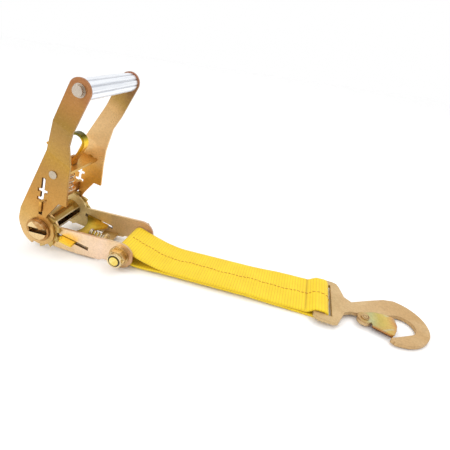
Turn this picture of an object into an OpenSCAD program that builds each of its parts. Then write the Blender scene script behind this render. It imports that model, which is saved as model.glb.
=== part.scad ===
// Ratchet tie down, short fixed end: ratchet buckle, sewn webbing and a flat snap hook.
// Millimetres. The origin is the centre of the slotted winding mandrel.
// +X runs along the webbing to the hook, +Z is up, Y is across the webbing.
// The tie down lies on level ground, which is mandrel_height below the origin.

/* [Ratchet frame] */
// Clear width between the two base plates, which the webbing passes through
inner_w = 51.2; // [50.9:0.1:53]
// Thickness of each base plate
base_t = 2.6; // [2.2:0.1:2.8]
// Thickness of each handle plate
handle_t = 2.5; // [2:0.1:2.8]
// Thickness of each ratchet gear
gear_t = 3; // [2.5:0.1:3.4]
// Distance from the mandrel to the strap bolt, along the ground
bolt_x = 92.2; // [88:0.1:96]
// Radius of the round end of a base plate, around the strap bolt
bolt_lobe_r = 15; // [14:0.5:17]
// Height of the mandrel above the ground
mandrel_height = 26; // [25:0.5:27]
// Angle of the base pawl's slot below the top edge of a base plate
base_slot_angle = 16; // [12:0.5:17]

/* [Mandrel and gears] */
// Radius of the mandrel
mandrel_r = 11; // [10:0.1:11.5]
// Height of the slot in the mandrel
mandrel_slot = 6.2; // [4.4:0.1:6.4]
// Radius over the tips of the gear teeth
gear_tip_r = 23.5; // [22:0.1:23.6]
// Radius at the roots of the gear teeth
gear_root_r = 18; // [16:0.5:19]
// Number of teeth on each gear
teeth = 11; // [9:1:13]

/* [Handle] */
// Angle of the rear edge of the handle above the ground
handle_angle = 60.5; // [30:0.5:120]
// Radius of the round foot of a handle plate, around the mandrel
foot_r = 22.4; // [21:0.1:23]
// Distance from the mandrel to the grip, along the rear edge
grip_u = 165; // [150:1:175]
// Half the width of a handle arm
arm_r = 10.2; // [9:0.1:11]
// Distance by which each handle arm flares outwards
flare = 11.8; // [6:0.1:13]
// Angle of the handle pawl's slot behind the rear edge
handle_slot_angle = 17; // [15:0.5:19]
// Outer radius of the grip tube
grip_r = 9; // [8:0.1:10]
// Number of grooves along the grip tube
grooves = 10; // [6:1:14]

/* [Pawls and springs] */
// Half the thickness of a pawl plate
pawl_half_t = 1.5; // [1.2:0.1:1.6]
// Distance that a pawl can be pulled back
pawl_travel = 7; // [5:0.5:8]
// Diameter of the spring wire
wire_d = 1.2; // [1:0.1:1.3]
// Number of turns in each pawl spring
turns = 6; // [5:1:7]

/* [Webbing] */
// Width of the webbing
web_w = 50; // [48:0.1:50.6]
// Thickness of one ply of webbing
web_t = 2.4; // [2:0.1:2.6]
// Place where the two plies meet, beyond the ratchet
join_x = 152; // [140:1:190]

/* [Snap hook] */
// Distance from the mandrel to the middle of the hook's crossbar
crossbar_x = 305.3; // [280:0.5:330]
// Thickness of the hook plate
hook_t = 3.6; // [3:0.1:3.8]
// Width of the hook plate across the webbing slot
hook_w = 67; // [65:0.5:72]
// Radius of the outside of the hook's bow
bow_r = 33; // [32:0.5:34]
// Radius of the inside of the hook's bow
eye_r = 13; // [12:0.1:13.5]
// Thickness of the folded sheet of the gate
gate_t = 1.2; // [1:0.1:1.4]

/* [Hidden] */

clearance = 0.3;          // gap between pieces that move past each other
running_gap = 0.08;       // radial gap of a shaft that turns in a bore
zinc = "#c9a45c";
bright_zinc = "#d8bf86";

// Layers across the ratchet, from the middle outwards
base_y = inner_w / 2;                       // inner face of a base plate
gear_y = base_y + base_t + clearance;       // inner face of a gear
handle_y = gear_y + gear_t + clearance;     // inner face of a handle plate
clip_y = handle_y + handle_t + clearance;   // inner face of a mandrel clip
clip_t = 1.5;
clip_r = 13.5;
mandrel_end = clip_y + clip_t + 2;
grip_y = handle_y + flare;                  // inner face of a handle arm at the grip

// The strap bolt end of the base rests on the ground
bolt_z = bolt_lobe_r - mandrel_height;
base_tilt = 2;
ground_z = -mandrel_height;
base_slot_ground = base_tilt - base_slot_angle;
base_top = 4.4;            // top edge of a base plate above the mandrel
base_lobe_r = 20;          // round end of a base plate behind the gear
bolt_r = 5;
nut_af = 17;
washer_t = 1.6;
outer_base_y = base_y + base_t;

// Slots and pawls, measured outwards from the mandrel
slot_in = 21.4;
base_slot_out = 54.5;
handle_slot_out = 61;
slot_w = 3.8;
ear_in = gear_tip_r + 0.4; // working edge of a pawl, just clear of the tooth tips
ear_outer_in = 26.6;       // clear of the corners of the turning handle
ear_y = handle_y + handle_t + 2;
base_ear_out = 41;
handle_ear_out = 36;
tongue_half_w = 3.2;
tongue_half_t = 1.25;
tongue_gap = 0.35;
base_seat = 60.8;          // near face of the tab that the base spring bears on
seat_t = 2.4;
handle_seat = 69.4;        // near face of the cross plate that the handle spring bears on
handle_seat_t = 3;
joggle = 7;                // forward step from the handle pawl's ears to its tongue
spring_r = 4.2;            // mean radius of a pawl spring

// Handle outline
grip_w = 17.4;             // distance of the grip behind the mandrel's centre line
bend_low = 90;
bend_high = 128;
rod_r = 4;
tenon_r = 3.2;
tenon_z = -9.5;
head_r = 4.7;
head_h = 3;

// Snap hook: lengths from the middle of the webbing loop, along and across the plate
crossbar_from = -8.8;
crossbar_to = 3.4;
slot_wall = 8.9;           // far wall of the webbing slot
slot_half_w = 26;
loop_in = 4;               // inside of the webbing loop around the crossbar
loop_mid_z = ground_z + loop_in + web_t;
hook_tilt = 2.4;           // the hook's end lies lower than its crossbar
bow = [69.4, -2.8];
eye = [76.2, -7.3];
pivot = [40.3, -13.8];
pivot_lobe_r = 6.5;
gate_lobe_r = 7.3;
rivet_r = 2.5;
pocket_r = 5.2;
pocket_depth = 2.4;

// ---------- shared shapes ----------

// A flat shape drawn in X and Z, made into a plate from y to y + t
module upright(y, t) translate([0, y + t, 0]) rotate([90, 0, 0]) linear_extrude(t) children();

// A bar or bore along Y, from y0 to y1, at x and z
module rod_y(r, y0, y1, x = 0, z = 0, sides = 64)
    translate([x, y1, z]) rotate([90, 0, 0]) cylinder(r = r, h = y1 - y0, $fn = sides);

// A block between two corners
module block(low, high) translate(low) cube(high - low);

// Frames of reference: the tilted base, its slot, the raised handle and its slot
module in_base() rotate([0, -base_tilt, 0]) children();
module in_base_slot() rotate([0, -base_slot_ground, 0]) children();
module in_handle() rotate([0, -handle_angle, 0]) children();
module in_handle_slot() rotate([0, -handle_angle - handle_slot_angle, 0]) children();

// The far copy of a piece that is made on the near side
module far() mirror([0, 1, 0]) children();

function polar(r, a) = [r * cos(a), r * sin(a)];

// A slot with round ends that runs outwards from the mandrel
module radial_slot(from, to, angle) rotate(angle) {
    translate([from, -slot_w / 2]) square([to - from, slot_w]);
    for (x = [from, to]) translate([x, 0]) circle(d = slot_w, $fn = 32);
}

// A coil spring along X as one swept wire
module coil(from, to, r) {
    steps = 14;
    sides = 6;
    n = turns * steps;
    wire_r = wire_d / 2;
    points = [for (i = [0:n]) for (j = [0:sides - 1])
        let (a = i * 360 / steps, b = j * 360 / sides,
             x = from + wire_r + (to - from - wire_d) * i / n, q = r + wire_r * cos(b))
        [x + wire_r * sin(b), q * cos(a), q * sin(a)]];
    walls = [for (i = [0:n - 1]) for (j = [0:sides - 1])
        let (k = (j + 1) % sides)
        [i * sides + j, i * sides + k, (i + 1) * sides + k, (i + 1) * sides + j]];
    first = [[for (j = [0:sides - 1]) sides - 1 - j]];
    last = [[for (j = [0:sides - 1]) n * sides + j]];
    polyhedron(points, concat(walls, first, last), convexity = 10);
}

// ---------- base ----------

// The strap bolt's centre in the base's own frame
function base_bolt() = [bolt_x * cos(base_tilt) + bolt_z * sin(base_tilt),
                        bolt_z * cos(base_tilt) - bolt_x * sin(base_tilt)];

module base_plate() color(bright_zinc) in_base() difference() {
    bolt = base_bolt();
    union() {
        rod_y(base_lobe_r, -outer_base_y, -base_y, sides = 96);
        rod_y(bolt_lobe_r, -outer_base_y, -base_y, bolt[0], bolt[1], 96);
        upright(-outer_base_y, base_t)
            polygon([[-4, base_top], [bolt[0] - 1, bolt[1] + bolt_lobe_r - 0.04], bolt,
                     [bolt[0] - 11.5, bolt[1] - 9.4], [70, -23.6], [67.5, -25.6], [40, -24.6],
                     [12, -21.8], [1, 1 - base_lobe_r]]);
    }
    upright(-40, 20) radial_slot(slot_in, base_slot_out, -base_slot_angle);
    rod_y(mandrel_r + running_gap, -40, 0, sides = 96);
    rod_y(bolt_r, -40, 0, bolt[0], bolt[1]);
}

module base_plate_near() base_plate();
module base_plate_far() color(bright_zinc) far() base_plate();

// The cross plate joins the lower edges of the side plates. Its upright tab holds the tongue.
module base_cross_plate() color(zinc) difference() {
    union() {
        in_base() block([44, -base_y, -24], [62, base_y, -21.6]);
        in_base_slot() {
            block([base_seat, -7, -6.8], [base_seat + seat_t, 7, 1]);
            translate([base_seat, 0, 0]) rotate([0, 90, 0]) cylinder(r = 7, h = seat_t, $fn = 48);
        }
    }
    in_base_slot()
        block([base_seat - 2, -tongue_half_w - tongue_gap, -tongue_half_t - tongue_gap],
              [base_seat + seat_t + 2, tongue_half_w + tongue_gap, tongue_half_t + tongue_gap]);
}

module strap_bolt() color(bright_zinc) translate([bolt_x, 0, bolt_z]) {
    rod_y(bolt_r, -outer_base_y - washer_t - 11.2, outer_base_y + washer_t + 1, sides = 48);
    translate([0, outer_base_y + washer_t + 7, 0]) rotate([90, 0, 0])
        cylinder(d = nut_af / cos(30), h = 7, $fn = 6);
}

module bolt_washers() color(bright_zinc)
    for (y = [-outer_base_y - washer_t, outer_base_y]) difference() {
        rod_y(11, y, y + washer_t, bolt_x, bolt_z);
        rod_y(bolt_r, y - 1, y + washer_t + 1, bolt_x, bolt_z);
    }

// The lock nut: a hexagon with a round collar that holds the nylon ring
nut_y = outer_base_y + washer_t;
nut_hex = 7;
collar_h = 3.4;
collar_r = 8;
insert_r = 6.6;
insert_h = 2.2;
insert_y = nut_y + nut_hex + collar_h - 0.9;
module lock_nut() color(bright_zinc) translate([bolt_x, 0, bolt_z]) difference() {
    union() {
        translate([0, -nut_y, 0]) rotate([90, 0, 0])
            cylinder(d = nut_af / cos(30), h = nut_hex, $fn = 6);
        rod_y(collar_r, -nut_y - nut_hex - collar_h, -nut_y - nut_hex + 1);
    }
    rod_y(bolt_r, -nut_y - 20, -nut_y + 1, sides = 48);
    rod_y(insert_r, -insert_y - 5, -insert_y + insert_h);
}

module nut_insert() color("white") translate([bolt_x, 0, bolt_z]) difference() {
    rod_y(insert_r, -insert_y, -insert_y + insert_h);
    rod_y(bolt_r, -nut_y - 20, -nut_y + 1, sides = 48);
}

// ---------- pawls ----------

// The ears of a pawl: they pass through the slots of the side plates and over the gears.
// outer_in is where the part outside the gears begins.
module ears(outer_in, out) for (side = [-1, 1]) {
    y = [side * (base_y - 2), side * (handle_y - clearance / 2), side * ear_y];
    block([ear_in, min(y[0], y[1]), -pawl_half_t], [out, max(y[0], y[1]), pawl_half_t]);
    block([outer_in, min(y[0], y[2]), -pawl_half_t], [out, max(y[0], y[2]), pawl_half_t]);
}

// The base pawl is hollowed in front, where the webbing winds, and runs back to its tongue
module base_pawl() color(zinc) in_base_slot() {
    ears(ear_outer_in, base_ear_out);
    translate([0, 0, -pawl_half_t]) linear_extrude(2 * pawl_half_t) difference() {
        half = base_y - 0.5;
        polygon([[ear_in, half], [ear_in, -half], [51.5, -half], [51.5, 4 - half], [41.5, -tongue_half_w],
                 [41.5, tongue_half_w], [51.5, half - 4], [51.5, half]]);
        translate([1.7, 0]) circle(r = 31, $fn = 128);
    }
    block([41, -tongue_half_w, -tongue_half_t], [73, tongue_half_w, tongue_half_t]);
    translate([73, 0, -tongue_half_t]) cylinder(r = tongue_half_w, h = 2 * tongue_half_t, $fn = 32);
}

module handle_pawl() color(zinc) in_handle_slot() {
    ears(ear_in, handle_ear_out);
    block([ear_in, 1 - base_y, -pawl_half_t], [handle_ear_out, base_y - 1, pawl_half_t]);
    block([handle_ear_out - 1, -14, -joggle - tongue_half_t], [handle_ear_out + 2, 14, pawl_half_t]);
    block([handle_ear_out, -tongue_half_w, -joggle - tongue_half_t],
          [81, tongue_half_w, -joggle + tongue_half_t]);
}

// The finger pull: a strip that leans forward from the tongue, bends over and comes back
pull_t = 2.6;
pull_w = 8;
pull_r = 7.2;              // inside of the bend
pull_c = [98.4, -9.9];      // middle of the bend
pull_from = -113;
pull_to = 39;
pull_leg = 34;             // length of the rear leg
pull_front = -joggle - tongue_half_t;
function pull_arc(r) = [for (i = [0:14]) pull_c + polar(r, pull_from + i * (pull_to - pull_from) / 14)];
function pull_tip(r) = pull_c + polar(r, pull_to) + pull_leg * [-sin(pull_to), cos(pull_to)];

module finger_pull() color(zinc) in_handle_slot() upright(-pull_w / 2, pull_w)
    polygon(concat([[73, pull_front - pull_t], [76.5, pull_front - pull_t]], pull_arc(pull_r + pull_t),
                   [pull_tip(pull_r + pull_t), pull_tip(pull_r)],
                   [for (i = [14:-1:0]) pull_arc(pull_r)[i]], [[78, pull_front], [73, pull_front]]));

module base_spring() color("silver") in_base_slot() coil(42, base_seat - 0.5, spring_r);

module handle_spring() color("silver") in_handle_slot() translate([0, 0, -joggle])
    coil(handle_ear_out + 2.5, handle_seat - 0.5, spring_r);

// ---------- mandrel ----------

// One half of the mandrel: a bar with a flat on the side of the slot
module mandrel_half() color(bright_zinc) difference() {
    rod_y(mandrel_r, -mandrel_end, mandrel_end, sides = 96);
    block([-20, -60, -20], [20, 60, mandrel_slot / 2]);
}
module mandrel_half_upper() mandrel_half();
module mandrel_half_lower() color(bright_zinc) mirror([0, 0, 1]) mandrel_half();

// Saw teeth that a pawl can only lift over when the gear winds in
pitch = 360 / teeth;
gear_points = [for (i = [0:teeth - 1]) each [
    polar(gear_root_r, i * pitch - 3), polar(gear_tip_r, i * pitch),
    polar(gear_tip_r, i * pitch + 3), polar((gear_tip_r + gear_root_r) / 2 + 1, i * pitch + 14)]];

// A gear with two half-round holes for the mandrel's halves
module gear() color(bright_zinc) upright(-gear_y - gear_t, gear_t) difference() {
    polygon(gear_points);
    difference() {
        circle(r = mandrel_r, $fn = 96);
        square([40, mandrel_slot], center = true);
    }
}
module gear_near() gear();
module gear_far() color(bright_zinc) far() gear();

// The clip that keeps the side plates on the mandrel, with an ear folded over the mandrel's end
ear_y_end = mandrel_end + 1.6;
module mandrel_clip() color("silver") difference() {
    union() {
        rod_y(clip_r, -clip_y - clip_t, -clip_y);
        upright(-ear_y_end, ear_y_end - clip_y - 0.6)
            polygon([for (r = [mandrel_r + 0.9, clip_r - 0.4]) for (i = [0:8])
                polar(r, r < clip_r - 1 ? 20 + 11 * i : 108 - 11 * i)]);
        upright(-ear_y_end, 1.2)
            polygon([[-3, 11.7], [4.6, 2.8], [11.4, 5.1], [8.9, 8.8], [4.6, 11.6]]);
    }
    rod_y(mandrel_r, -clip_y - clip_t - 1, -clip_y + 1, sides = 96);
    block([-2, -clip_y - clip_t - 1, -20], [2, -clip_y + 1, 0]);
}
module mandrel_clip_near() mandrel_clip();
module mandrel_clip_far() color("silver") far() mandrel_clip();

// ---------- handle ----------

// Outline of a handle plate: foot, latch notch, tapered front edge and slender arm
module handle_outline() {
    intersection() {
        circle(r = foot_r, $fn = 96);
        polygon([[0, 0], [60, -3], [60, 60], [-60, 60], [-60, -1]]);
    }
    circle(r = 18.5, $fn = 96);
    translate([grip_u, grip_w]) circle(r = arm_r, $fn = 64);
    polygon([[0, 0], [24, -1.5], [45, -6], [48, -14.5], [72, -5.2], [96, 2.4],
             [112, grip_w - arm_r], [grip_u + 0.5, grip_w - arm_r + 0.02],
             [grip_u + 0.5, grip_w + arm_r - 0.02],
             [10, grip_w + arm_r], [-3.7, 24.8], [-11.8, 20]]);
}

// The bent sheet of a handle plate, seen along its own thickness
module bent_sheet() polygon([
    [-60, -handle_y], [bend_low, -handle_y], [bend_high, -grip_y], [200, -grip_y],
    [200, -grip_y - handle_t], [bend_high - 0.8, -grip_y - handle_t],
    [bend_low - 0.8, -handle_y - handle_t], [-60, -handle_y - handle_t]]);

module handle_plate() color(zinc) in_handle() difference() {
    intersection() {
        upright(-60, 60) difference() {
            handle_outline();
            radial_slot(slot_in, handle_slot_out, handle_slot_angle);
            rotate(handle_slot_angle) for (x = [38, 48])
                translate([x - 2, -5.5]) square([4, 11]);
        }
        translate([0, 0, -40]) linear_extrude(90) bent_sheet();
    }
    rod_y(mandrel_r + running_gap, -80, 0, sides = 96);
    rod_y(rod_r, -80, 0, grip_u, grip_w, 48);
    rotate([0, -handle_slot_angle, 0]) rod_y(tenon_r, -80, 0, handle_seat + 1.5, tenon_z, 48);
}
module handle_plate_near() handle_plate();
module handle_plate_far() color(zinc) far() handle_plate();

module handle_cross_plate() color(zinc) in_handle_slot() difference() {
    union() {
        block([handle_seat, -handle_y, -18], [handle_seat + handle_seat_t, handle_y, 1.5]);
        for (side = [-1, 1]) {
            shank = side * (handle_y + handle_t / 2);
            head = side * (handle_y + handle_t + 0.5);
            half = handle_t / 2 + 0.5;
            rod_y(tenon_r, shank - half, shank + half, handle_seat + 1.5, tenon_z, 48);
            rod_y(tenon_r + 1, head - 0.5, head + 0.5, handle_seat + 1.5, tenon_z, 48);
        }
    }
    translate([0, 0, -joggle])
        block([handle_seat - 8, -tongue_half_w - tongue_gap, -tongue_half_t - tongue_gap],
              [handle_seat + 8, tongue_half_w + tongue_gap, tongue_half_t + tongue_gap]);
}

module grip_tube() color("gainsboro") in_handle() translate([grip_u, 0, grip_w]) difference() {
    rod_y(grip_r, -grip_y, grip_y);
    rod_y(rod_r + 0.5, -grip_y - 1, grip_y + 1, sides = 48);
    for (i = [0:grooves - 1]) rotate([0, i * 360 / grooves, 0])
        rod_y(0.9, -grip_y - 1, grip_y + 1, grip_r + 0.2, 0, 16);
}

module grip_rod() color("silver") in_handle() translate([grip_u, 0, grip_w]) {
    rod_y(rod_r, -grip_y - handle_t - 1, grip_y + handle_t + 1, sides = 48);
    for (side = [-1, 1]) {
        y = side * (grip_y + handle_t + 0.8 + head_h / 2);
        rod_y(head_r, y - head_h / 2, y + head_h / 2, sides = 48);
    }
}

module grip_washers() color("silver") in_handle() translate([grip_u, 0, grip_w])
    for (y = [-grip_y - handle_t - 0.8, grip_y + handle_t]) difference() {
        rod_y(5.9, y, y + 0.8);
        rod_y(rod_r, y - 1, y + 2, sides = 48);
    }

// ---------- webbing ----------

bolt_loop = bolt_r + 0.4;
top_leave = 68;            // where the top ply leaves the loop around the bolt
low_leave = 242;           // where the lower ply leaves it
seam_x = crossbar_x - 16;
lift = 3.2;                // height of the webbing above the ground between ratchet and hook
low_z = ground_z + lift;   // underside of the lower ply, the middle of the two plies and the top
mid_z = low_z + web_t;
top_z = mid_z + web_t;

// A smooth curve from a to b that starts with slope m and ends with slope n
function curve(a, m, b, n, steps = 14) = let (w = b[0] - a[0]) [for (i = [1:steps])
    let (t = i / steps, u = 1 - t)
    [a[0] + w * t, a[1] * u * u * (1 + 2 * t) + b[1] * t * t * (3 - 2 * t) + w * t * u * (m * u - n * t)]];
function arc(c, r, from, to, steps = 24) =
    [for (i = [0:steps]) c + polar(r, from + i * (to - from) / steps)];
function reversed(list) = [for (i = [len(list) - 1:-1:0]) list[i]];

// Parts of the webbing's side view: the two plies that leave the bolt, and the loop at the hook
strap_c = [bolt_x, bolt_z];
hook_c = [crossbar_x, loop_mid_z];
function top_ply(r, z) = curve(strap_c + polar(r, top_leave), tan(top_leave - 90), [join_x, z], 0);
function low_ply(r, z, x) = curve(strap_c + polar(r, low_leave), tan(low_leave - 270), [x, z], 0);
function rise(r, x) = curve([x, r > loop_in ? top_z : mid_z], 0, hook_c + [-6, r], 0);
function fall(r, x, z) = concat([[x, z]], curve([x, z], 0, [seam_x + 5, hook_c[1] - r], 0));

module strap_webbing() color("gold") upright(-web_w / 2, web_w) {
    outer = bolt_loop + web_t;
    hook_outer = loop_in + web_t;
    difference() {
        polygon(concat(arc(strap_c, outer, low_leave, top_leave), top_ply(outer, top_z),
                       [[seam_x, top_z]], rise(hook_outer, seam_x), arc(hook_c, hook_outer, 90, -90),
                       reversed(fall(hook_outer, seam_x - 27, low_z)),
                       reversed(low_ply(outer, low_z, 140))));
        polygon(concat(arc(strap_c, bolt_loop, low_leave, top_leave), top_ply(bolt_loop, mid_z),
                       reversed(low_ply(bolt_loop, mid_z, 138))));
        polygon(concat([[seam_x, mid_z]], rise(loop_in, seam_x), arc(hook_c, loop_in, 90, -90),
                       reversed(fall(loop_in, seam_x - 20, mid_z))));
    }
}

// ---------- snap hook ----------

// The hook's own frame: the middle of the webbing loop, with the plate's end lower
module in_hook() translate([crossbar_x, 0, loop_mid_z]) rotate([0, hook_tilt, 0]) children();

// Outline of the hook from above: slotted plate, neck, bow and tip
module hook_outline() {
    half = hook_w / 2;
    polygon([[-8.8, 4.5 - half], [-4, 0.5 - half], [0, -half], [11, -half],
             [14.5, 1.6 - half], [21.5, -13.7], [28.3, -9.5], [38, -8.6], [50, -4], [64, 2],
             [62, 20], [48.4, 18.1], [29.6, 6.5], [22.5, 11.5], [18, half - 6.5],
             [15.5, half - 1.5], [11, half], [0, half], [-8.8, half - 4.5]]);
    translate(pivot) circle(r = pivot_lobe_r, $fn = 48);
    difference() {
        translate(bow) circle(r = bow_r, $fn = 128);
        translate(eye) circle(r = eye_r, $fn = 96);
        polygon([[28, 5.6], [48.4, 18.1], [64.1, 27.1], [80, 31.3], [40, 60]]);
        polygon([eye + [-2.7, eye_r - 0.3], [50, -4.5], [30, -8], [30, -60], bow + [-4.7, -60],
                 bow + [-4.7, -29.1], bow + [-4.1, -26.4], eye + [6.4, -11.3], eye]);
    }
    translate(bow + [-4.7, -29.1]) circle(r = 2.6, $fn = 32);
}

module flat_hook() color("#c2a374") in_hook() difference() {
    translate([0, 0, -hook_t / 2]) linear_extrude(hook_t) difference() {
        hook_outline();
        translate([crossbar_to, -slot_half_w]) square([slot_wall - crossbar_to, 2 * slot_half_w]);
    }
    translate([pivot[0], pivot[1], hook_t / 2 - pocket_depth]) cylinder(r = pocket_r, h = 10, $fn = 48);
    translate([pivot[0], pivot[1], -hook_t]) cylinder(r = rivet_r, h = 20, $fn = 48);
}

// The gate: a sheet over the hook plate, with its edge folded down
gate_high = hook_t / 2 + clearance + gate_t;
gate_flange = 3.9;
module gate_outline() {
    circle(r = gate_lobe_r, $fn = 48);
    polygon([[-1, 7], [10.2, 12.2], [20, 13.5], [28, 12.6], [29.6, 10.5], [29.8, 0], [28, -7],
             [25.2, -13.6], [24.2, -14.4], [6.5, -8], [5, -4]]);
}
module in_gate() in_hook() translate([pivot[0], pivot[1], 0]) children();
module hook_gate() color("#b5a758") in_gate() difference() {
    union() {
        translate([0, 0, gate_high - gate_t]) linear_extrude(gate_t) gate_outline();
        translate([0, 0, gate_high - gate_flange]) linear_extrude(gate_flange)
            polygon([[6.5, -8], [24.2, -14.4], [24.6, -13.2], [6.9, -6.8]]);
    }
    translate([0, 0, -10]) cylinder(r = rivet_r + running_gap, h = 20, $fn = 48);
}

module gate_rivet() color("silver") in_gate() {
    translate([0, 0, -hook_t / 2 - 0.5]) cylinder(r = rivet_r, h = hook_t / 2 + gate_high + 0.8, $fn = 48);
    translate([0, 0, -hook_t / 2 - 0.8]) cylinder(r = 4, h = 0.8, $fn = 48);
    translate([0, 0, gate_high + 0.1]) cylinder(r = 4, h = 1, $fn = 48);
}

// The gate's torsion spring: closed turns in the pocket around the rivet
module gate_spring() color("silver") in_gate()
    for (i = [0:1]) translate([0, 0, hook_t / 2 - pocket_depth + 0.65 + i * 1.15])
        rotate_extrude($fn = 48) translate([3.9, 0]) circle(r = 0.55, $fn = 16);

base_plate_near();
base_plate_far();
base_cross_plate();
strap_bolt();
bolt_washers();
lock_nut();
nut_insert();
base_pawl();
base_spring();
mandrel_half_upper();
mandrel_half_lower();
gear_near();
gear_far();
mandrel_clip_near();
mandrel_clip_far();
handle_plate_near();
handle_plate_far();
handle_cross_plate();
grip_tube();
grip_rod();
grip_washers();
handle_pawl();
finger_pull();
handle_spring();
strap_webbing();
flat_hook();
hook_gate();
gate_rivet();
gate_spring();
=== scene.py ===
"""The looks of the ratchet tie down. Sizes are millimetres in the CAD model's frame, and MM makes metres."""
from math import cos, hypot, pi, radians, sin, sqrt

import bpy
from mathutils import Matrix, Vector


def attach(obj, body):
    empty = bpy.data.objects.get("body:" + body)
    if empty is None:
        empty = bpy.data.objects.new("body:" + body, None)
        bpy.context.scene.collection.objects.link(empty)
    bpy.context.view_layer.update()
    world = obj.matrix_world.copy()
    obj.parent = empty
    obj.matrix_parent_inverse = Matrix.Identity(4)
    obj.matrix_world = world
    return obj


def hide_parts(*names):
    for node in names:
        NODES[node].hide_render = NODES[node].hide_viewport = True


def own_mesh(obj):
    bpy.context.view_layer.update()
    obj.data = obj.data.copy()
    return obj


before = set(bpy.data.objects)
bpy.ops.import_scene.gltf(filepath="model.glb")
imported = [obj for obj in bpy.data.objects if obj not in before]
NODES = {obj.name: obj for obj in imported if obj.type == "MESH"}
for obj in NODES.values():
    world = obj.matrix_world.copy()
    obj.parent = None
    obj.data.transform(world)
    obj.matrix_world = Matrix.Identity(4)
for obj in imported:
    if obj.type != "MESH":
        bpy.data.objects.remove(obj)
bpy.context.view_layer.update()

MM = 0.001

# ---------- places in the CAD model ----------
# The mandrel turns about Y at the origin. Angles are in degrees from X, in the plane of X and Z.

GROUND = -26.0
HANDLE_ANGLE = 60.5
HANDLE_SLOT_ANGLE = 77.5
BASE_ANGLE = 2.0
BASE_SLOT_ANGLE = -14.0

# The grip's axis: how far it is along the handle's line, and behind it
GRIP_ALONG = 165.0
GRIP_BEHIND = 17.4

# The middle of the webbing loop that the hook hangs in, in X and Z
CROSSBAR = (305.3, -19.6)

# The hook lies tilted, its far end lower than its crossbar
HOOK_TILT = 2.4
GATE_UNDERSIDE = 2.1  # of the gate's sheet, above the middle of the hook's plate
RIVET_TOP = 4.3  # of the gate rivet's upper head, above the same
GATE_PIVOT = (40.3, -13.8)  # the rivet: along the hook from its crossbar, and in Y


def in_frame(angle, along, y, height):
    """A point along a line tilted by angle from the origin, and height above that line, in metres."""
    c = cos(radians(angle))
    s = sin(radians(angle))
    return Vector(((along * c - height * s) * MM, y * MM, (along * s + height * c) * MM))


def on_hook(along, y, height):
    """A point along the hook from its crossbar, and height above the middle of its plate, in metres."""
    c = cos(radians(HOOK_TILT))
    s = sin(radians(HOOK_TILT))
    x = CROSSBAR[0] + along * c + height * s
    z = CROSSBAR[1] - along * s + height * c
    return Vector((x * MM, y * MM, z * MM))


# ---------- building materials from nodes ----------


def rgb(text):
    """A colour written as six hexadecimal digits, made linear."""
    out = []
    for i in (0, 2, 4):
        v = int(text[i : i + 2], 16) / 255
        out.append(v / 12.92 if v <= 0.04045 else ((v + 0.055) / 1.055) ** 2.4)
    return tuple(out) + (1.0,)


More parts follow.
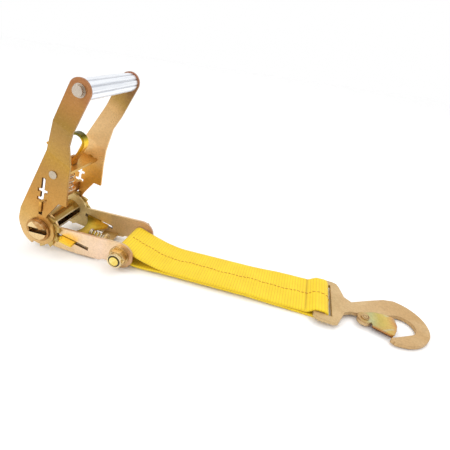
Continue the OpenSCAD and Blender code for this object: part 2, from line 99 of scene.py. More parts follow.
class Nodes:
    """A material under construction: most methods add nodes and return an output of the last one."""

    def __init__(self, name):
        self.mat = bpy.data.materials.new(name)
        self.mat.use_nodes = True
        self.tree = self.mat.node_tree
        self.bsdf = self.tree.nodes["Principled BSDF"]
        self.coords = self.tree.nodes.new("ShaderNodeTexCoord").outputs["Object"]

    def add(self, kind, inputs=None, **props):
        node = self.tree.nodes.new(kind)
        for key, value in props.items():
            setattr(node, key, value)
        for key, value in (inputs or {}).items():
            self.put(node.inputs[key], value)
        return node

    def put(self, socket, value):
        if isinstance(value, bpy.types.NodeSocket):
            self.tree.links.new(value, socket)
        else:
            socket.default_value = value

    def shader(self, **values):
        """Sets the shader's inputs: an underscore in a name here is a space in the input's name."""
        for key, value in values.items():
            self.put(self.bsdf.inputs[key.replace("_", " ")], value)

    def math(self, operation, a, b=0.0, c=0.0, clamp=False):
        return self.add("ShaderNodeMath", {0: a, 1: b, 2: c}, operation=operation, use_clamp=clamp).outputs[0]

    def times(self, a, b):
        return self.math("MULTIPLY", a, b)

    def absolute(self, a):
        return self.math("ABSOLUTE", a)

    def dot(self, a, b):
        return self.add("ShaderNodeVectorMath", {0: a, 1: b}, operation="DOT_PRODUCT").outputs["Value"]

    def along(self, angle):
        """Distance from the origin in millimetres, along a line tilted by angle."""
        return self.dot(self.coords, (cos(radians(angle)) / MM, 0, sin(radians(angle)) / MM))

    def axis(self, name):
        """X, Y or Z in millimetres."""
        split = self.add("ShaderNodeSeparateXYZ", {0: self.coords})
        return self.times(split.outputs[name], 1 / MM)

    def noise(self, scale, detail=3.0, rough=0.5, warp=0.0, stretch=None):
        vector = self.coords
        if stretch:
            vector = self.add("ShaderNodeMapping", {"Vector": vector, "Scale": stretch}).outputs[0]
        inputs = {"Vector": vector, "Scale": scale, "Detail": detail, "Roughness": rough, "Distortion": warp}
        return self.add("ShaderNodeTexNoise", inputs).outputs["Fac"]

    def span(self, value, low, high, at_low=0.0, at_high=1.0, smooth=True):
        """value, taken from the range low to high onto at_low to at_high."""
        kind = "SMOOTHSTEP" if smooth else "LINEAR"
        inputs = {"Value": value, "From Min": low, "From Max": high, "To Min": at_low, "To Max": at_high}
        return self.add("ShaderNodeMapRange", inputs, interpolation_type=kind).outputs["Result"]

    def ramp(self, fac, stops):
        node = self.add("ShaderNodeValToRGB", {"Fac": fac})
        elements = node.color_ramp.elements
        while len(elements) < len(stops):
            elements.new(0.5)
        for element, (place, colour) in zip(elements, stops):
            element.position = place
            element.color = rgb(colour)
        return node.outputs["Color"]

    def mix(self, fac, a, b, blend="MIX"):
        node = self.add("ShaderNodeMix", data_type="RGBA", blend_type=blend)
        self.put(node.inputs["Factor"], fac)
        self.put(node.inputs[6], rgb(a) if isinstance(a, str) else a)
        self.put(node.inputs[7], rgb(b) if isinstance(b, str) else b)
        return node.outputs[2]

    def bump(self, height, distance, strength, normal=None):
        """Relief of distance millimetres."""
        node = self.add("ShaderNodeBump", {"Height": height, "Distance": distance * MM, "Strength": strength})
        if normal is not None:
            self.put(node.inputs["Normal"], normal)
        return node.outputs["Normal"]

    def edges(self, radius):
        """(normal rounded by radius millimetres at edges, 0 to 1 near an edge)."""
        bevel = self.add("ShaderNodeBevel", {"Radius": radius * MM}, samples=6).outputs["Normal"]
        flat = self.add("ShaderNodeNewGeometry").outputs["Normal"]
        return bevel, self.span(self.dot(bevel, flat), 0.995, 0.86)


# ---------- where a plated finish spreads its colours ----------


def along_handle(n):
    return n.along(HANDLE_ANGLE)


def along_handle_slot(n):
    return n.along(HANDLE_SLOT_ANGLE)


def along_base(n):
    return n.along(BASE_ANGLE)


def by_x(n):
    return n.axis("X")


def by_y(n):
    return n.axis("Y")


# ---------- marks that only some plated pieces have ----------

# The side plates' slots for the pawls, from the mandrel, with about a quarter of a millimetre round them
SLOT_HALF_WIDTH = 2.15
SLOT_START = 19.2
HANDLE_SLOT_END = 63.2
BASE_SLOT_END = 56.7

MANDREL_SLOT_HALF = 3.12  # half the height of the slot for the webbing, and a little more


def dark_slot(angle, end):
    """A side plate: painted shade, dark brown, on the walls of the pawl's slot and a thin rim round it."""

    def slot_shade(n, colour):
        s = n.along(angle)
        wall = n.math("LESS_THAN", n.absolute(n.along(angle + 90)), SLOT_HALF_WIDTH)
        reach = n.times(n.math("GREATER_THAN", s, SLOT_START), n.math("LESS_THAN", s, end))
        # Painted shade: the slot's walls, and about a quarter millimetre round them, are mixed towards dark
        # brown.
        return n.mix(n.times(n.times(wall, reach), 0.85), colour, "3A1C0C")

    return slot_shade


def mandrel_shade_oil_and_glint(n, colour):
    """The mandrel: its slot is dark, partly oil and partly painted shade, and its lips carry a painted
    highlight between its ends.
    """
    height = n.absolute(n.axis("Z"))
    inside = n.span(n.absolute(n.axis("Y")), 36.0, 37.2, 1.0, 0.0)
    # Painted highlight: cream along the slot's lips, between the mandrel's ends.
    lip_highlight = n.span(height, 3.15, 5.2, 0.85, 0.0)
    colour = n.mix(n.times(lip_highlight, inside), colour, "FFF3D0")
    # Inside the slot: mottled dark brown, oil and painted shade together.
    oil_and_shade = n.mix(n.span(n.noise(scale=160, detail=3, rough=0.6, warp=0.8), 0.4, 0.62), "2B130A", "8A5A2C")
    return n.mix(n.math("LESS_THAN", height, MANDREL_SLOT_HALF), colour, oil_and_shade)


def rivet_heads(n, colour):
    """The handle's cross plate: its tenons are headed over outside the side plates, and rubbed to steel."""
    outside = n.span(n.absolute(n.axis("Y")), 33.6, 34.2, 0.0, 0.85)
    return n.mix(outside, colour, "B4ACA0")


def pawl_shade_and_tone(n, colour):
    """The base pawl: painted shade, olive, between its ears on the side of the teeth, and paler towards its
    tongue's end.
    """
    s = n.along(BASE_SLOT_ANGLE)
    between_ears = n.span(n.absolute(n.axis("Y")), 22.0, 25.6, 1.0, 0.0)
    tooth_side = n.span(s, 30.0, 39.0, 0.8, 0.0)
    # Painted shade: olive between the ears, on the side of the teeth.
    colour = n.mix(n.times(tooth_side, between_ears), colour, "6B6318")
    return n.mix(n.span(s, 52.0, 56.0, 0.0, 0.9), colour, "D2BC86")


def folded_flange(n, colour):
    """The gate: its folded edge is a browner gold, with painted shade, darkest brown, along the lowest part
    of the flange.
    """
    height = n.along(90 - HOOK_TILT)
    crossbar_height = CROSSBAR[0] * sin(radians(HOOK_TILT)) + CROSSBAR[1] * cos(radians(HOOK_TILT))
    sheet = crossbar_height + GATE_UNDERSIDE  # the flange hangs below this
    colour = n.mix(n.span(height, sheet - 0.1, sheet + 0.7, 0.85, 0.0), colour, "A9692E")
    # Painted shade along the bottom of the flange.
    return n.mix(n.span(height, sheet - 1.7, sheet - 1.2, 0.9, 0.0), colour, "41200C")


# ---------- yellow chromate on zinc ----------


def plated(name, place, reach, stops, wander=0.06, rough=(0.26, 0.42), metal=0.85, patches=(),
           edge="6B4423", edge_amount=0.65, edge_width=0.35, extra=None):
    """Yellow chromate: its colour drifts along the piece and in cloudy patches, with fine grain, darker
    sheared edges and uneven gloss. stops are spread over reach, a range of the length that place gives, and
    wander shifts them. Each patch is (colour, noise scale, amount). extra adds the marks of one piece."""
    n = Nodes(name)
    cloud = n.noise(scale=38, detail=4, rough=0.55, warp=0.6)
    fine = n.noise(scale=520, detail=5, rough=0.6)
    grain = n.noise(scale=90, detail=4, rough=0.6, stretch=(9, 9, 9))
    length = n.span(place(n), reach[0], reach[1], smooth=False)
    shift = n.times(n.math("SUBTRACT", cloud, 0.5), wander * 2)
    colour = n.ramp(n.math("ADD", length, shift, clamp=True), stops)
    for patch_colour, scale, amount in patches:
        spots = n.span(n.noise(scale=scale, detail=2, rough=0.5, warp=1.2), 0.52, 0.7)
        colour = n.mix(n.times(spots, amount), colour, patch_colour)
    if extra:
        colour = extra(n, colour)
    colour = n.mix(n.times(n.span(fine, 0.35, 0.7), 0.16), colour, "5A4020", "MULTIPLY")
    colour = n.mix(n.times(n.span(grain, 0.58, 0.75), 0.12), colour, "FFF2CF")
    normal, near = n.edges(edge_width)
    wear = n.math("MULTIPLY", near, n.math("MULTIPLY_ADD", fine, 0.5, edge_amount - 0.25), clamp=True)
    colour = n.mix(wear, colour, edge)
    uneven = n.math("ADD", n.times(cloud, 0.6), n.times(fine, 0.4))
    relief = n.bump(fine, 0.03, 0.35, n.bump(cloud, 0.3, 0.12, normal))
    n.shader(Base_Color=colour, Metallic=metal, Roughness=n.span(uneven, 0.3, 0.7, rough[0], rough[1]),
             Normal=relief)
    return n.mat


HANDLE_REACH = (-26, 178)
BASE_REACH = (-20, 110)
ACROSS_REACH = (-38, 38)
RIVET_REACH = (340, 352)

PLATED = {
    # Side plates, from the mandrel's end to the far end. Near and far plates are one plating given as lit and
    # shaded copies: their stops hold painted light and shade as well as the plating's own drift
    "handle_near": dict(
        place=along_handle, reach=HANDLE_REACH, wander=0.035,
        stops=[(0.0, "E3BD84"), (0.17, "CDA25A"), (0.28, "C08C44"), (0.47, "B08443"), (0.57, "B48B3A"),
               (0.67, "A88040"), (0.765, "9C7838"), (0.86, "AE7C42"), (1.0, "A4664A")],
        patches=[("DDB068", 14, 0.3), ("94772E", 20, 0.22)],
        extra=dark_slot(HANDLE_SLOT_ANGLE, HANDLE_SLOT_END)),
    "handle_far": dict(
        place=along_handle, reach=HANDLE_REACH, wander=0.035, metal=0.5,
        stops=[(0.0, "D7A458"), (0.35, "E2A440"), (0.43, "E6AE44"), (0.5, "E9BE7C"), (0.58, "E8C086"),
               (0.68, "DEB67E"), (0.76, "D0A66A"), (0.815, "A8843F"), (0.9, "8C6636"), (1.0, "A4684A")],
        patches=[("E3A83C", 13, 0.25), ("C98F5C", 22, 0.2)]),
    "base_near": dict(
        place=along_base, reach=BASE_REACH, wander=0.05,
        stops=[(0.0, "E2BE7C"), (0.25, "F0CE8E"), (0.45, "EBD0AC"), (0.7, "EFD3B8"), (0.85, "E3C292"),
               (1.0, "C79A70")],
        patches=[("F4E0C4", 18, 0.35), ("E6B45E", 26, 0.22)],
        extra=dark_slot(BASE_SLOT_ANGLE, BASE_SLOT_END)),
    "base_far": dict(
        place=along_base, reach=BASE_REACH, wander=0.05, metal=0.3,
        stops=[(0.0, "D2B878"), (0.3, "DEC484"), (0.45, "E6C88C"), (0.6, "E4C48E"), (0.78, "E2BE8C"),
               (0.9, "D0A884"), (1.0, "B58874")],
        patches=[("C2A868", 20, 0.3)],
        extra=dark_slot(BASE_SLOT_ANGLE, BASE_SLOT_END)),
    # Plates that cross between the side plates
    "base_cross": dict(
        place=by_y, reach=(-34, 34), wander=0.15, metal=0.4,
        stops=[(0.0, "E6CC96"), (0.5, "DCBC80"), (1.0, "C9A45C")],
        patches=[("B8924C", 30, 0.3)]),
    "cross": dict(
        place=by_y, reach=(-34, 34), wander=0.15,
        stops=[(0.0, "D8AE52"), (0.5, "CFA75A"), (1.0, "B98B3C")],
        patches=[("A07828", 30, 0.3)],
        extra=rivet_heads),
    # Pawls and the finger release, the strongest yellows
    "base_pawl": dict(
        place=by_y, reach=ACROSS_REACH, wander=0.06,
        stops=[(0.0, "F2CE44"), (0.14, "F0C434"), (0.24, "B8962A"), (0.5, "CDAC40"), (0.7, "F4CC44"),
               (0.88, "ECBE3A"), (1.0, "D9B04A")],
        patches=[("6F5C16", 32, 0.3), ("F4D886", 24, 0.3)],
        extra=pawl_shade_and_tone),
    "handle_pawl": dict(
        place=by_y, reach=ACROSS_REACH, wander=0.1,
        stops=[(0.0, "D9A54A"), (0.3, "B07A3A"), (0.6, "C08A48"), (1.0, "C99A4A")],
        patches=[("7A3E22", 40, 0.4)]),
    # The finger pull's stops paint its shade along it: the stem dark brown and the top of the curl dark
    # olive, both painted shade.
    "pull": dict(
        place=along_handle_slot, reach=(72, 108), wander=0.04,
        stops=[(0.0, "A8692C"), (0.35, "C98E2E"), (0.62, "FFC524"), (0.84, "F2CC30"), (0.93, "7A7420"),
               (1.0, "5A551C")],
        patches=[("E0A018", 40, 0.3)],
        edge="4A3A10", edge_amount=0.85),
    # The winding shaft
    "gear": dict(
        place=by_x, reach=(-24, 24), wander=0.2,
        stops=[(0.0, "C9A659"), (0.5, "DCC07A"), (1.0, "B3954C")],
        patches=[("E6CF90", 26, 0.4), ("8F7436", 40, 0.35)]),
    "mandrel": dict(
        place=by_y, reach=ACROSS_REACH, wander=0.08, rough=(0.18, 0.3),
        stops=[(0.0, "E6C690"), (0.08, "DDB66C"), (0.3, "9C7A3C"), (0.6, "A5823E"), (0.85, "B08C44"),
               (1.0, "E0C48A")],
        patches=[("FBE9BC", 30, 0.3)],
        edge="3E2008", edge_amount=0.9, extra=mandrel_shade_oil_and_glint),
    "clip": dict(
        place=by_x, reach=(-14, 14), wander=0.2,
        stops=[(0.0, "B5864A"), (0.5, "C4955A"), (1.0, "A8783E")],
        patches=[("F0D6AC", 50, 0.35)],
        edge="2E1606", edge_amount=0.95, edge_width=0.6),
    # The strap bolt, the glossiest pieces
    "bolt": dict(
        place=by_y, reach=(-44, 38), wander=0.08, rough=(0.16, 0.28),
        stops=[(0.0, "F2DC84"), (0.04, "EFD670"), (0.12, "E0B64E"), (0.6, "D2B070"), (1.0, "C9A45C")],
        patches=[("FFF0C2", 60, 0.35)]),
    "nut": dict(
        place=by_y, reach=(-44, -24), wander=0.12, rough=(0.14, 0.26),
        stops=[(0.0, "E9D9B8"), (0.35, "E1C68E"), (0.7, "C49A4E"), (1.0, "A87C36")],
        patches=[("FFE7AE", 70, 0.5), ("7E5A24", 60, 0.35)],
        edge="321C0A", edge_amount=0.95),
    "washer": dict(
        place=by_x, reach=(78, 104), wander=0.2, rough=(0.18, 0.3),
        stops=[(0.0, "C99A48"), (0.5, "EAD3A4"), (1.0, "C7A066")],
        patches=[("8A6428", 60, 0.4)],
        edge="3A2008", edge_amount=0.95),
    # The hook is a dull tan, and its gate is a mottled, greener gold
    "hook": dict(
        place=by_x, reach=(296, 408), wander=0.1, rough=(0.42, 0.58), metal=0.45,
        stops=[(0.0, "BC9E68"), (0.3, "CBAC7C"), (0.6, "C7A472"), (1.0, "C09B66")],
        patches=[("DCC092", 20, 0.3), ("BC9462", 34, 0.25)],
        edge="7A5C34", edge_amount=0.55),
    "gate": dict(
        place=by_x, reach=(338, 376), wander=0.08, rough=(0.3, 0.42), metal=0.6,
        stops=[(0.0, "B8925C"), (0.22, "C2A468"), (0.36, "B4B27C"), (0.55, "C2AE55"), (0.75, "CFB058"),
               (0.9, "CE9E5A"), (1.0, "B87840")],
        patches=[("B5C8B8", 60, 0.5), ("DCD07C", 44, 0.35), ("CE9464", 50, 0.25)],
        edge="6E3E1C", edge_amount=0.85, edge_width=0.5, extra=folded_flange),
    "rivet": dict(
        place=by_x, reach=RIVET_REACH, wander=0.2, rough=(0.3, 0.42), metal=0.6,
        stops=[(0.0, "B8925C"), (0.5, "C8A874"), (1.0, "B08850")],
        edge="7A5630"),
    "curl": dict(
        place=by_x, reach=RIVET_REACH, wander=0.2, rough=(0.3, 0.42), metal=0.6,
        stops=[(0.0, "4A2C12"), (0.5, "6A4420"), (1.0, "4E2E14")],
        edge="2A1606"),
}
MATERIALS = {name: plated(name, **look) for name, look in PLATED.items()}

# ---------- bare metals and plastic ----------


def bright_steel(name, base, dark, rough):
    """Bare or clear-plated metal with fine drawing lines along Y."""
    n = Nodes(name)
    lines = n.noise(scale=60, detail=4, rough=0.6, stretch=(60, 1, 60))
    smudge = n.noise(scale=70, detail=3, rough=0.5, warp=0.5)
    normal, near = n.edges(0.2)
    colour = n.mix(n.span(lines, 0.4, 0.7), base, dark)
    colour = n.mix(n.times(n.span(smudge, 0.5, 0.7), 0.25), colour, dark)
    colour = n.mix(n.times(near, 0.3), colour, dark)
    n.shader(Base_Color=colour, Metallic=0.9, Roughness=n.span(smudge, 0.3, 0.7, rough[0], rough[1]),
             Normal=n.bump(lines, 0.02, 0.3, normal))
    return n.mat


MATERIALS["steel"] = bright_steel("steel", "CDC1B2", "97897A", rough=(0.16, 0.3))
MATERIALS["spring"] = bright_steel("spring", "E6DFD2", "A89A88", rough=(0.14, 0.24))


# Distances from the grip's axis at which the shade in its flutes is full, and gone
FLUTE_SHADE_R = 8.4
FLUTE_CLEAR_R = 8.9


def aluminium():
    """The extruded grip: bright satin aluminium with die lines along it, and painted shade down in its
    flutes.
    """
    n = Nodes("grip_aluminium")
    die = n.noise(scale=45, detail=4, rough=0.65, stretch=(26, 0.6, 26))
    speck = n.noise(scale=700, detail=3, rough=0.6)
    normal, near = n.edges(0.25)
    colour = n.mix(n.span(die, 0.35, 0.7), "F4F6FA", "D5DAE2")
    colour = n.mix(n.times(n.span(speck, 0.55, 0.75), 0.2), colour, "AEB2BA")
    colour = n.mix(n.times(near, 0.25), colour, "9A9CA2")
    along = n.math("SUBTRACT", n.along(HANDLE_ANGLE), GRIP_ALONG)
    behind = n.math("SUBTRACT", n.along(HANDLE_ANGLE + 90), GRIP_BEHIND)
    from_axis = n.math("SQRT", n.math("ADD", n.times(along, along), n.times(behind, behind)))
    colour = n.mix(n.span(from_axis, FLUTE_SHADE_R, FLUTE_CLEAR_R, 0.4, 0.0), colour, "8E9098")
    n.shader(Base_Color=colour, Metallic=0.75, Roughness=n.span(die, 0.3, 0.7, 0.24, 0.38),
             Normal=n.bump(die, 0.03, 0.4, normal))
    return n.mat


MATERIALS["aluminium"] = aluminium()


def nylon():
    """The lock nut's ring: dark grey plastic, set below the collar."""
    n = Nodes("nylon")
    mottle = n.noise(scale=300, detail=4, rough=0.6)
    n.shader(Base_Color=n.mix(n.span(mottle, 0.35, 0.7), "4E4536", "2E271C"),
             Roughness=n.span(mottle, 0.3, 0.7, 0.38, 0.55), Subsurface_Weight=0.1,
             Normal=n.bump(mottle, 0.04, 0.4))
    return n.mat


MATERIALS["nylon"] = nylon()

# ---------- each CAD node's finish ----------

FINISH = {
    "base_near": ["base_plate_near"],
    "base_far": ["base_plate_far"],
    "base_cross": ["base_cross_plate"],
    "bolt": ["strap_bolt"],
    "washer": ["bolt_washers"],
    "nut": ["lock_nut"],
    "nylon": ["nut_insert"],
    "base_pawl": ["base_pawl"],
    "mandrel": ["mandrel_half_upper", "mandrel_half_lower"],
    "gear": ["gear_near", "gear_far"],
    "clip": ["mandrel_clip_near", "mandrel_clip_far"],
    "handle_near": ["handle_plate_near"],
    "handle_far": ["handle_plate_far"],
    "cross": ["handle_cross_plate"],
    "aluminium": ["grip_tube"],
    "steel": ["grip_rod", "grip_washers"],
    "handle_pawl": ["handle_pawl"],
    "pull": ["finger_pull"],
    "hook": ["flat_hook"],
    "gate": ["hook_gate"],
    "rivet": ["gate_rivet"],
    "spring": ["base_spring", "handle_spring", "gate_spring"],
}


def finish_nodes(key, names):
    for name in names:
        mesh = NODES[name].data
        mesh.materials.clear()
        mesh.materials.append(MATERIALS[key])


for finish, names in FINISH.items():
    finish_nodes(finish, names)

# ---------- helpers for new pieces ----------


def link(name, data):
    """A new object in the scene."""
    obj = bpy.data.objects.new(name, data)
    bpy.context.scene.collection.objects.link(obj)
    return obj


def piece(name, points, faces, material, body):
    """A smooth mesh of its own that moves with a CAD body."""
    mesh = bpy.data.meshes.new(name)
    mesh.from_pydata([tuple(p) for p in points], [], faces)
    mesh.validate()
    mesh.polygons.foreach_set("use_smooth", [True] * len(mesh.polygons))
    mesh.materials.append(MATERIALS[material])
    obj = link(name, mesh)
    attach(obj, body)
    return obj


def tube(path, radii, sides):
    """(points, faces) of a round wire with closed ends along a list of points, with a radius for each."""
    points = []
    up = Vector((0, 1, 0.001))
    for i, (p, r) in enumerate(zip(path, radii)):
        along = (path[min(i + 1, len(path) - 1)] - path[max(i - 1, 0)]).normalized()
        side = along.cross(up).normalized()
        up = side.cross(along).normalized()
        for j in range(sides):
            a = 2 * pi * j / sides
            points.append(p + r * (cos(a) * side + sin(a) * up))
    faces = []
    for i in range(len(path) - 1):
        for j in range(sides):
            k = (j + 1) % sides
            faces.append((i * sides + j, i * sides + k, (i + 1) * sides + k, (i + 1) * sides + j))
    faces.append(tuple(range(sides))[::-1])
    faces.append(tuple((len(path) - 1) * sides + j for j in range(sides)))
    return points, faces


# ---------- pawl springs ----------

SPRING_R = 4.2
WIRE_R = 0.6
WIRE_SIDES = 10
TURNS = 6
TURN_STEPS = 26
CLOSED = 0.75  # how much of its pitch each end turn gives up, so that it lies nearly flat


def coil(angle, start, end, height):
    """The wire of a coil spring along a slot's line: nearly closed turns at each end, open turns between."""
    path = []
    total = TURNS * TURN_STEPS
    for i in range(total + 1):
        turn = TURNS * (i / total)
        lead = turn - CLOSED * min(1, turn) - CLOSED * max(0, turn - TURNS + 1)
        along = start + WIRE_R + (end - start - 2 * WIRE_R) * (lead / (TURNS - 2 * CLOSED))
        a = 2 * pi * turn
        path.append(in_frame(angle, along, SPRING_R * cos(a), height + SPRING_R * sin(a)))
    return path


def spring(name, node, body, angle, start, end, height):
    """A coil from start to end along a slot's line."""
    path = coil(angle, start, end, height)
    points, faces = tube(path, [WIRE_R * MM] * len(path), WIRE_SIDES)
    obj = piece(name, points, faces, "spring", body)
    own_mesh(obj)
    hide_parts(node)


spring("base_pawl_spring", "base_spring", "base", BASE_SLOT_ANGLE,
       start=42, end=60.3, height=0)
spring("handle_pawl_spring", "handle_spring", "handle", HANDLE_SLOT_ANGLE,
       start=38.5, end=68.9, height=-7)

# ---------- the line that the webbing follows ----------

WEB_W = 50.0
WEB_T = 2.4
HALF_T = WEB_T / 2
BOLT = (92.2, -11.0)
BOLT_LOOP = 5.4  # inner radius of the loop round the strap bolt
HOOK_LOOP = 4.0  # inner radius of the loop round the hook's crossbar
LOW_Z = -22.8  # underside of the lower ply, between ratchet and hook
TOP_LEAVE = 68  # angles at which the two plies leave the loop round the bolt
LOW_LEAVE = 242
TOP_JOIN_X = 152.0  # where the top ply, and the lower one, settle to their level run to the hook
LOW_JOIN_X = 140.0
SEAM_X = CROSSBAR[0] - 16  # where they are sewn together, before they part round the crossbar
RISEN_X = CROSSBAR[0] - 6  # the top ply has risen to the crossbar's loop
SINK_X = SEAM_X - 27  # the lower ply starts down to the ground
GROUNDED_X = SEAM_X + 5  # and has reached it


def polar(centre, r, angle):
    return (centre[0] + r * cos(radians(angle)), centre[1] + r * sin(radians(angle)))


def arc(centre, r, first, last, steps=40):
    return [polar(centre, r, first + (last - first) * i / steps) for i in range(steps + 1)]


def straight(x_from, x_to, z, steps):
    """Points along a level line, without its first."""
    return [(x_from + (x_to - x_from) * i / steps, z) for i in range(1, steps + 1)]


def curve(a, slope_a, b, slope_b, steps=24):
    """Points on a smooth curve from a to b, without a, with the slopes that it has at its ends."""
    width = b[0] - a[0]
    out = []
    for i in range(1, steps + 1):
        t = i / steps
        u = 1 - t
        level = a[1] * u * u * (1 + 2 * t) + b[1] * t * t * (3 - 2 * t)
        out.append((a[0] + width * t, level + width * t * u * (slope_a * u - slope_b * t)))
    return out


def slope(angle):
    return sin(radians(angle)) / cos(radians(angle))


def webbing_line():
    """The middle of the ply, once round: over the bolt, along the top, round the crossbar and back below."""
    r = BOLT_LOOP + HALF_T
    top = LOW_Z + 2 * WEB_T - HALF_T
    low = LOW_Z + HALF_T
    over_crossbar = CROSSBAR[1] + HOOK_LOOP + HALF_T
    line = arc(BOLT, r, LOW_LEAVE, TOP_LEAVE)
    line += curve(polar(BOLT, r, TOP_LEAVE), slope(TOP_LEAVE - 90), (TOP_JOIN_X, top), 0)
    line += straight(TOP_JOIN_X, SEAM_X, top, 40)
    line += curve((SEAM_X, top), 0, (RISEN_X, over_crossbar), 0)
    line += arc(CROSSBAR, HOOK_LOOP + HALF_T, 90, -90)
    sink = [(SINK_X, low)] + curve((SINK_X, low), 0, (GROUNDED_X, GROUND + HALF_T), 0)
    line += sink[::-1]
    line += straight(SINK_X, LOW_JOIN_X, low, 30)
    line += curve(polar(BOLT, r, LOW_LEAVE), slope(LOW_LEAVE - 270), (LOW_JOIN_X, low), 0)[::-1][1:]
    return line


def resample(line, step):
    """(points at equal steps of about step round a closed line, its length)."""
    loop = line + [line[0]]
    lengths = [0.0]
    for a, b in zip(loop, loop[1:]):
        lengths.append(lengths[-1] + hypot(b[0] - a[0], b[1] - a[1]))
    count = int(lengths[-1] / step)
    out = []
    k = 0
    for i in range(count):
        d = lengths[-1] * i / count
        while lengths[k + 1] < d:
            k += 1
        t = (d - lengths[k]) / max(1e-9, lengths[k + 1] - lengths[k])
        a, b = loop[k], loop[k + 1]
        out.append((a[0] + (b[0] - a[0]) * t, a[1] + (b[1] - a[1]) * t))
    return out, lengths[-1]


def outward(line, i):
    """The direction out of the loop at a point of the line."""
    a, b = line[i - 1], line[(i + 1) % len(line)]
    m = hypot(b[0] - a[0], b[1] - a[1])
    return -(b[1] - a[1]) / m, (b[0] - a[0]) / m


def smooth(t):
    t = max(0.0, min(1.0, t))
    return t * t * (3 - 2 * t)


ROLL = 1.7  # lift of the webbing's far edge, and drop of its near edge, by the hook
ROLL_START_X = 225
ROLL_LENGTH = 40
ROLL_FROM_HEIGHT = 1.5  # above the ground: nothing lower rolls
ROLL_GROW_HEIGHT = 3  # and this much higher, it rolls in full


def roll(x, y, z):
    """How far the webbing is lifted on its far side and lowered on its near side, towards the hook."""
    by_length = smooth((x - ROLL_START_X) / ROLL_LENGTH)
    by_height = smooth((z - GROUND - ROLL_FROM_HEIGHT) / ROLL_GROW_HEIGHT)
    return ROLL * by_length * by_height * y / (WEB_W / 2)


# ---------- webbing ----------

WEB_STEP = 0.56
COLUMNS = 34
SIDE_MARGIN = 0.12  # the mesh is this much narrower than the CAD solid on each side
FACE_MARGIN = 0.02  # and this much thinner on each face
RIB = 2.8  # distance between ribs, near enough
RIB_DEPTH = 0.13
GROOVE_PITCH = 2.5  # of the grooves along the webbing, which stop short of its woven edges
GROOVE_DEPTH = 0.05
GROOVE_REACH = 23.5
EDGE_ROUND = 0.9  # width over which each edge is rounded
EDGE_REACH = 24.5  # beyond this the woven edge wanders slightly
EDGE_WANDER = 0.06
WANDER_LENGTH = 3.1
SEAM_DEPTH = 0.55
SEAM_HALF_W = 0.8


def fitted_pitch(length):
    """The rib pitch nearest to RIB that divides the loop's length evenly."""
    return length / round(length / RIB)


def face_height(d, y, pitch):
    """How far a face of the webbing is from its middle: round at its edges, ribbed across, grooved along."""
    edge = min(1.0, (WEB_W / 2 - abs(y)) / EDGE_ROUND)
    roundness = 0.5 + 0.5 * sqrt(max(0.0, 1 - (1 - edge) ** 2))
    rib = sqrt(abs(sin(pi * d / pitch)))
    height = (HALF_T - FACE_MARGIN) * roundness - RIB_DEPTH * (1 - rib)
    if abs(y) < GROOVE_REACH:
        height -= GROOVE_DEPTH * (1 - abs(sin(pi * y / GROOVE_PITCH)))
    return height


def seam_depth(x, z, facing_up):
    """The depth of the dent across the top face, where the two plies are sewn together."""
    if z > LOW_Z + WEB_T and facing_up > 0.5:
        return SEAM_DEPTH * max(0, 1 - abs(x - SEAM_X) / SEAM_HALF_W)
    return 0


def webbing():
    """(points, faces, (distance round, Y) of each point, length round, points in a ring) of the webbing."""
    line, length = resample(webbing_line(), WEB_STEP)
    count = len(line)
    pitch = fitted_pitch(length)
    width = WEB_W - 2 * SIDE_MARGIN
    ys = [-WEB_W / 2 + SIDE_MARGIN + width * j / COLUMNS for j in range(COLUMNS + 1)]
    ring = [(y, 1) for y in ys] + [(y, -1) for y in ys[::-1]]
    points, coords = [], []
    for i, (x, z) in enumerate(line):
        nx, nz = outward(line, i)
        d = length * i / count
        seam = seam_depth(x, z, nz)
        wander = EDGE_WANDER * sin(d / WANDER_LENGTH)
        for y, side in ring:
            h = face_height(d, y, pitch) - (seam if side > 0 else 0)
            shift = wander * (1 if y > 0 else -1) if abs(y) > EDGE_REACH else 0
            points.append(((x + nx * h * side) * MM, (y + shift) * MM,
                           (z + nz * h * side + roll(x, y, z)) * MM))
            coords.append((d, y))
    size = len(ring)
    faces = []
    for i in range(count):
        k = (i + 1) % count
        for j in range(size):
            m = (j + 1) % size
            faces.append((i * size + j, k * size + j, k * size + m, i * size + m))
    return points, faces, coords, length, size


YARN_PITCH = 1.25
TWIST_PITCH = 0.35


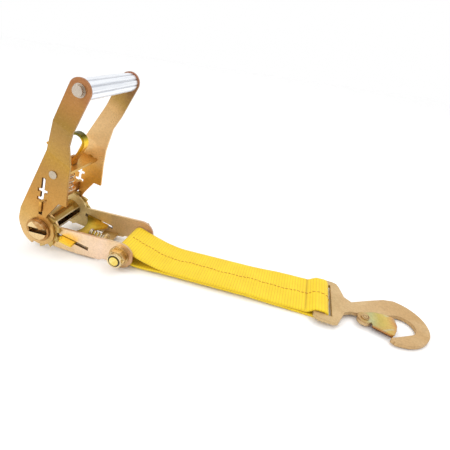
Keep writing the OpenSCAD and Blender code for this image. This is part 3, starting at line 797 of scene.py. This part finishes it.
def webbing_material(length):
    """Woven polyester: ribs across the webbing, yarns along it, each yarn twisted, slightly shiny, with
    painted shade between yarns, in the grooves between ribs and along the seam.
    """
    n = Nodes("webbing")
    uv = n.add("ShaderNodeUVMap", uv_map="weave").outputs["UV"]
    split = n.add("ShaderNodeSeparateXYZ", {0: uv})
    d = n.times(split.outputs["X"], length)
    y = n.times(split.outputs["Y"], WEB_W)

    def wave(value, pitch):
        return n.absolute(n.math("SINE", n.times(value, pi / pitch)))

    groove = n.span(wave(d, fitted_pitch(length)), 0.0, 0.5, 1.0, 0.0)
    yarn = wave(y, YARN_PITCH)
    twist = wave(n.math("MULTIPLY_ADD", y, 0.8, d), TWIST_PITCH)
    patchy = n.noise(scale=60, detail=4, rough=0.6)
    fibre = n.noise(scale=900, detail=3, rough=0.6)
    colour = n.mix(n.span(patchy, 0.3, 0.7), "E6C40A", "EECE14")
    # Painted shade: darker between the yarns and in the grooves between the ribs.
    colour = n.mix(n.times(n.span(yarn, 0.0, 0.45, 1.0, 0.0), 0.35), colour, "D3980C")
    colour = n.mix(n.times(groove, 0.6), colour, "C2920C")
    colour = n.mix(n.times(n.span(fibre, 0.5, 0.75), 0.2), colour, "FFE24A")
    # Painted shade: a dark line across the top ply, in the dent of the seam.
    from_seam = n.absolute(n.math("SUBTRACT", n.axis("X"), SEAM_X))
    on_top = n.span(n.axis("Z"), -20.5, -19.5)
    colour = n.mix(n.times(n.span(from_seam, 0.1, 1.1, 0.5, 0.0), on_top), colour, "96690A")
    height = n.math("ADD", n.times(yarn, 0.6), n.times(twist, 0.25))
    height = n.math("ADD", height, n.times(fibre, 0.25))
    n.shader(Base_Color=colour, Roughness=n.span(fibre, 0.3, 0.7, 0.55, 0.75), Sheen_Weight=0.15,
             Sheen_Roughness=0.4, Normal=n.bump(height, 0.12, 0.55))
    return n.mat


def map_weave(mesh, coords, length, size):
    """UVs that follow the webbing round. The last row of faces ends at the full length, not at nought."""
    layer = mesh.uv_layers.new(name="weave")
    last_row = len(coords) // size - 1
    for polygon in mesh.polygons:
        corners = [(k, mesh.loops[k].vertex_index) for k in polygon.loop_indices]
        closing = max(v for k, v in corners) // size == last_row
        for k, v in corners:
            d, y = coords[v]
            if closing and v // size == 0:
                d = length
            layer.data[k].uv = (d / length, y / WEB_W)


points, faces, coords, web_length, ring_size = webbing()
MATERIALS["webbing"] = webbing_material(web_length)
strap = piece("webbing_strap", points, faces, "webbing", "strap")
map_weave(strap.data, coords, web_length, ring_size)
finish_nodes("webbing", ["strap_webbing"])
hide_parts("strap_webbing")

# ---------- stitches ----------

STITCH_PITCH = 4.1
STITCH_LENGTH = 3.0
STITCH_PARTS = 8
LINE_STEP = 0.5
THREAD_R = 0.3
THREAD_SIDES = 8
THREAD_SUNK = 0.06  # the thread's centre line starts this far below the face
THREAD_ARCH = 0.2  # the arch of a stitch lifts it this much
THREAD_DIP = 0.5  # and its two end points go in this much deeper
STITCH_SWAY = 0.3  # each stitch slants the other way from the one before
ROW_Y = 0.4  # the row wanders about this Y


def thread_material():
    """Sewing thread, a shade redder than the webbing, with its twist."""
    n = Nodes("thread")
    twist = n.noise(scale=1500, detail=2, rough=0.5, stretch=(1, 2.5, 1))
    n.shader(Base_Color=n.mix(n.span(twist, 0.35, 0.65), "A85A10", "CC7E1C"),
             Roughness=n.span(twist, 0.3, 0.7, 0.5, 0.7), Sheen_Weight=0.1, Normal=n.bump(twist, 0.1, 0.6))
    return n.mat


def stitch_path(line, first, sway, drift):
    """The thread of one stitch, from a place on the line: it lies on the ribs and dips in at its ends."""
    path = []
    for j in range(STITCH_PARTS + 1):
        t = j / STITCH_PARTS
        i = int(round(first + t * STITCH_LENGTH / LINE_STEP))
        nx, nz = outward(line, i)
        x, z = line[i % len(line)]
        h = HALF_T - THREAD_SUNK + THREAD_ARCH * sqrt(max(0.0, sin(pi * t)))
        if j in (0, STITCH_PARTS):
            h -= THREAD_DIP
        y = sway * (2 * t - 1) + drift + ROW_Y
        path.append(Vector(((x + nx * h) * MM, y * MM, (z + nz * h + roll(x, y, z)) * MM)))
    return path


def stitching():
    """A row of lockstitches along the middle of the webbing's outer face. It starts on top, just past the
    bolt, goes round the hook's crossbar, and comes back along the underside to the bolt."""
    line = resample(webbing_line(), LINE_STEP)[0]
    start = next(i for i, (x, z) in enumerate(line) if z > BOLT[1] and x > BOLT[0] + 1)
    pitch = STITCH_PITCH / LINE_STEP
    points, faces = [], []
    for k in range(int((len(line) - 1 - start) / pitch)):
        sway = STITCH_SWAY * (1 if k % 2 else -1)
        # Two slow waves keep the row from being straight
        drift = 0.7 * sin(k * 0.42) + 0.45 * sin(k * 1.13 + 1)
        path = stitch_path(line, start + k * pitch, sway, drift)
        new_points, new_faces = tube(path, [THREAD_R * MM] * len(path), THREAD_SIDES)
        first = len(points)
        points += new_points
        faces += [tuple(first + v for v in face) for face in new_faces]
    return points, faces


points, faces = stitching()
MATERIALS["thread"] = thread_material()
piece("webbing_stitches", points, faces, "thread", "strap")

# ---------- the gate rivet's rolled head ----------

CURL_STEPS = 60
CURL_SIDES = 8
CURL_R = 0.5  # distance of its inner end from the rivet's axis, and how much further its outer end is
CURL_R_GROWTH = 2.9
CURL_START = -150  # angle of its inner end, and how far round it goes
CURL_SWEEP = 560
CURL_WIRE_R = 0.16  # thickness at its inner end, as a radius, and how much thicker it gets
CURL_WIRE_GROWTH = 0.22
CURL_TIP = 0.4  # its two end points are this much of that thickness


def rivet_swirl():
    """A raised curl on the rivet's upper head, where it was spun over."""
    path, radii = [], []
    for i in range(CURL_STEPS + 1):
        t = i / CURL_STEPS
        x, y = polar(GATE_PIVOT, CURL_R + CURL_R_GROWTH * t, CURL_START + CURL_SWEEP * t)
        path.append(on_hook(x, y, RIVET_TOP))
        tip = CURL_TIP if i in (0, CURL_STEPS) else 1
        radii.append((CURL_WIRE_R + CURL_WIRE_GROWTH * t) * MM * tip)
    return tube(path, radii, CURL_SIDES)


points, faces = rivet_swirl()
piece("rivet_rolled_edge", points, faces, "curl", "hook")

# ---------- camera, floor and light ----------

# The photo's point of view: places are in metres and turns in radians
camera = bpy.data.cameras.new("camera")
camera.lens = 28.2
camera.sensor_width = 36
camera.shift_x = 0.0444
eye = link("camera", camera)
eye.location = (0.24117, -0.31193, 0.20220)
eye.rotation_euler = (1.07975, -0.11494, 0.27408)
bpy.context.scene.camera = eye
bpy.context.scene.view_settings.view_transform = "Standard"

FLOOR_HALF = 3  # half its width, and how far below the object it is, in metres
FLOOR_GAP = 0.0002


def floor():
    """A plain white floor just under the object."""
    n = Nodes("floor")
    speck = n.noise(scale=40, detail=3, rough=0.5)
    n.shader(Base_Color=n.mix(n.span(speck, 0.3, 0.7), "FDFDFD", "FFFFFF"), Roughness=0.7)
    mesh = bpy.data.meshes.new("floor")
    corners = [(-1, -1), (1, -1), (1, 1), (-1, 1)]
    z = GROUND * MM - FLOOR_GAP
    mesh.from_pydata([(x * FLOOR_HALF, y * FLOOR_HALF, z) for x, y in corners], [], [(0, 1, 2, 3)])
    mesh.materials.append(n.mat)
    link("floor", mesh)


floor()


def softbox(name, place, aim, size, power):
    light = bpy.data.lights.new(name, "AREA")
    light.shape = "RECTANGLE"
    light.size = size[0]
    light.size_y = size[1]
    light.energy = power
    obj = link(name, light)
    obj.location = place
    obj.rotation_euler = (Vector(aim) - Vector(place)).to_track_quat("-Z", "Y").to_euler()


softbox("key", place=(-0.5, -0.7, 1.0), aim=(0.12, 0, 0), size=(0.7, 0.5), power=4.4)
softbox("top", place=(0.6, 0.4, 1.2), aim=(0.15, 0, 0), size=(0.8, 0.6), power=3.6)
world = bpy.data.worlds.new("studio")
bpy.context.scene.world = world
world.use_nodes = True
background = world.node_tree.nodes["Background"]
background.inputs["Color"].default_value = (1, 1, 1, 1)
background.inputs["Strength"].default_value = 1.0
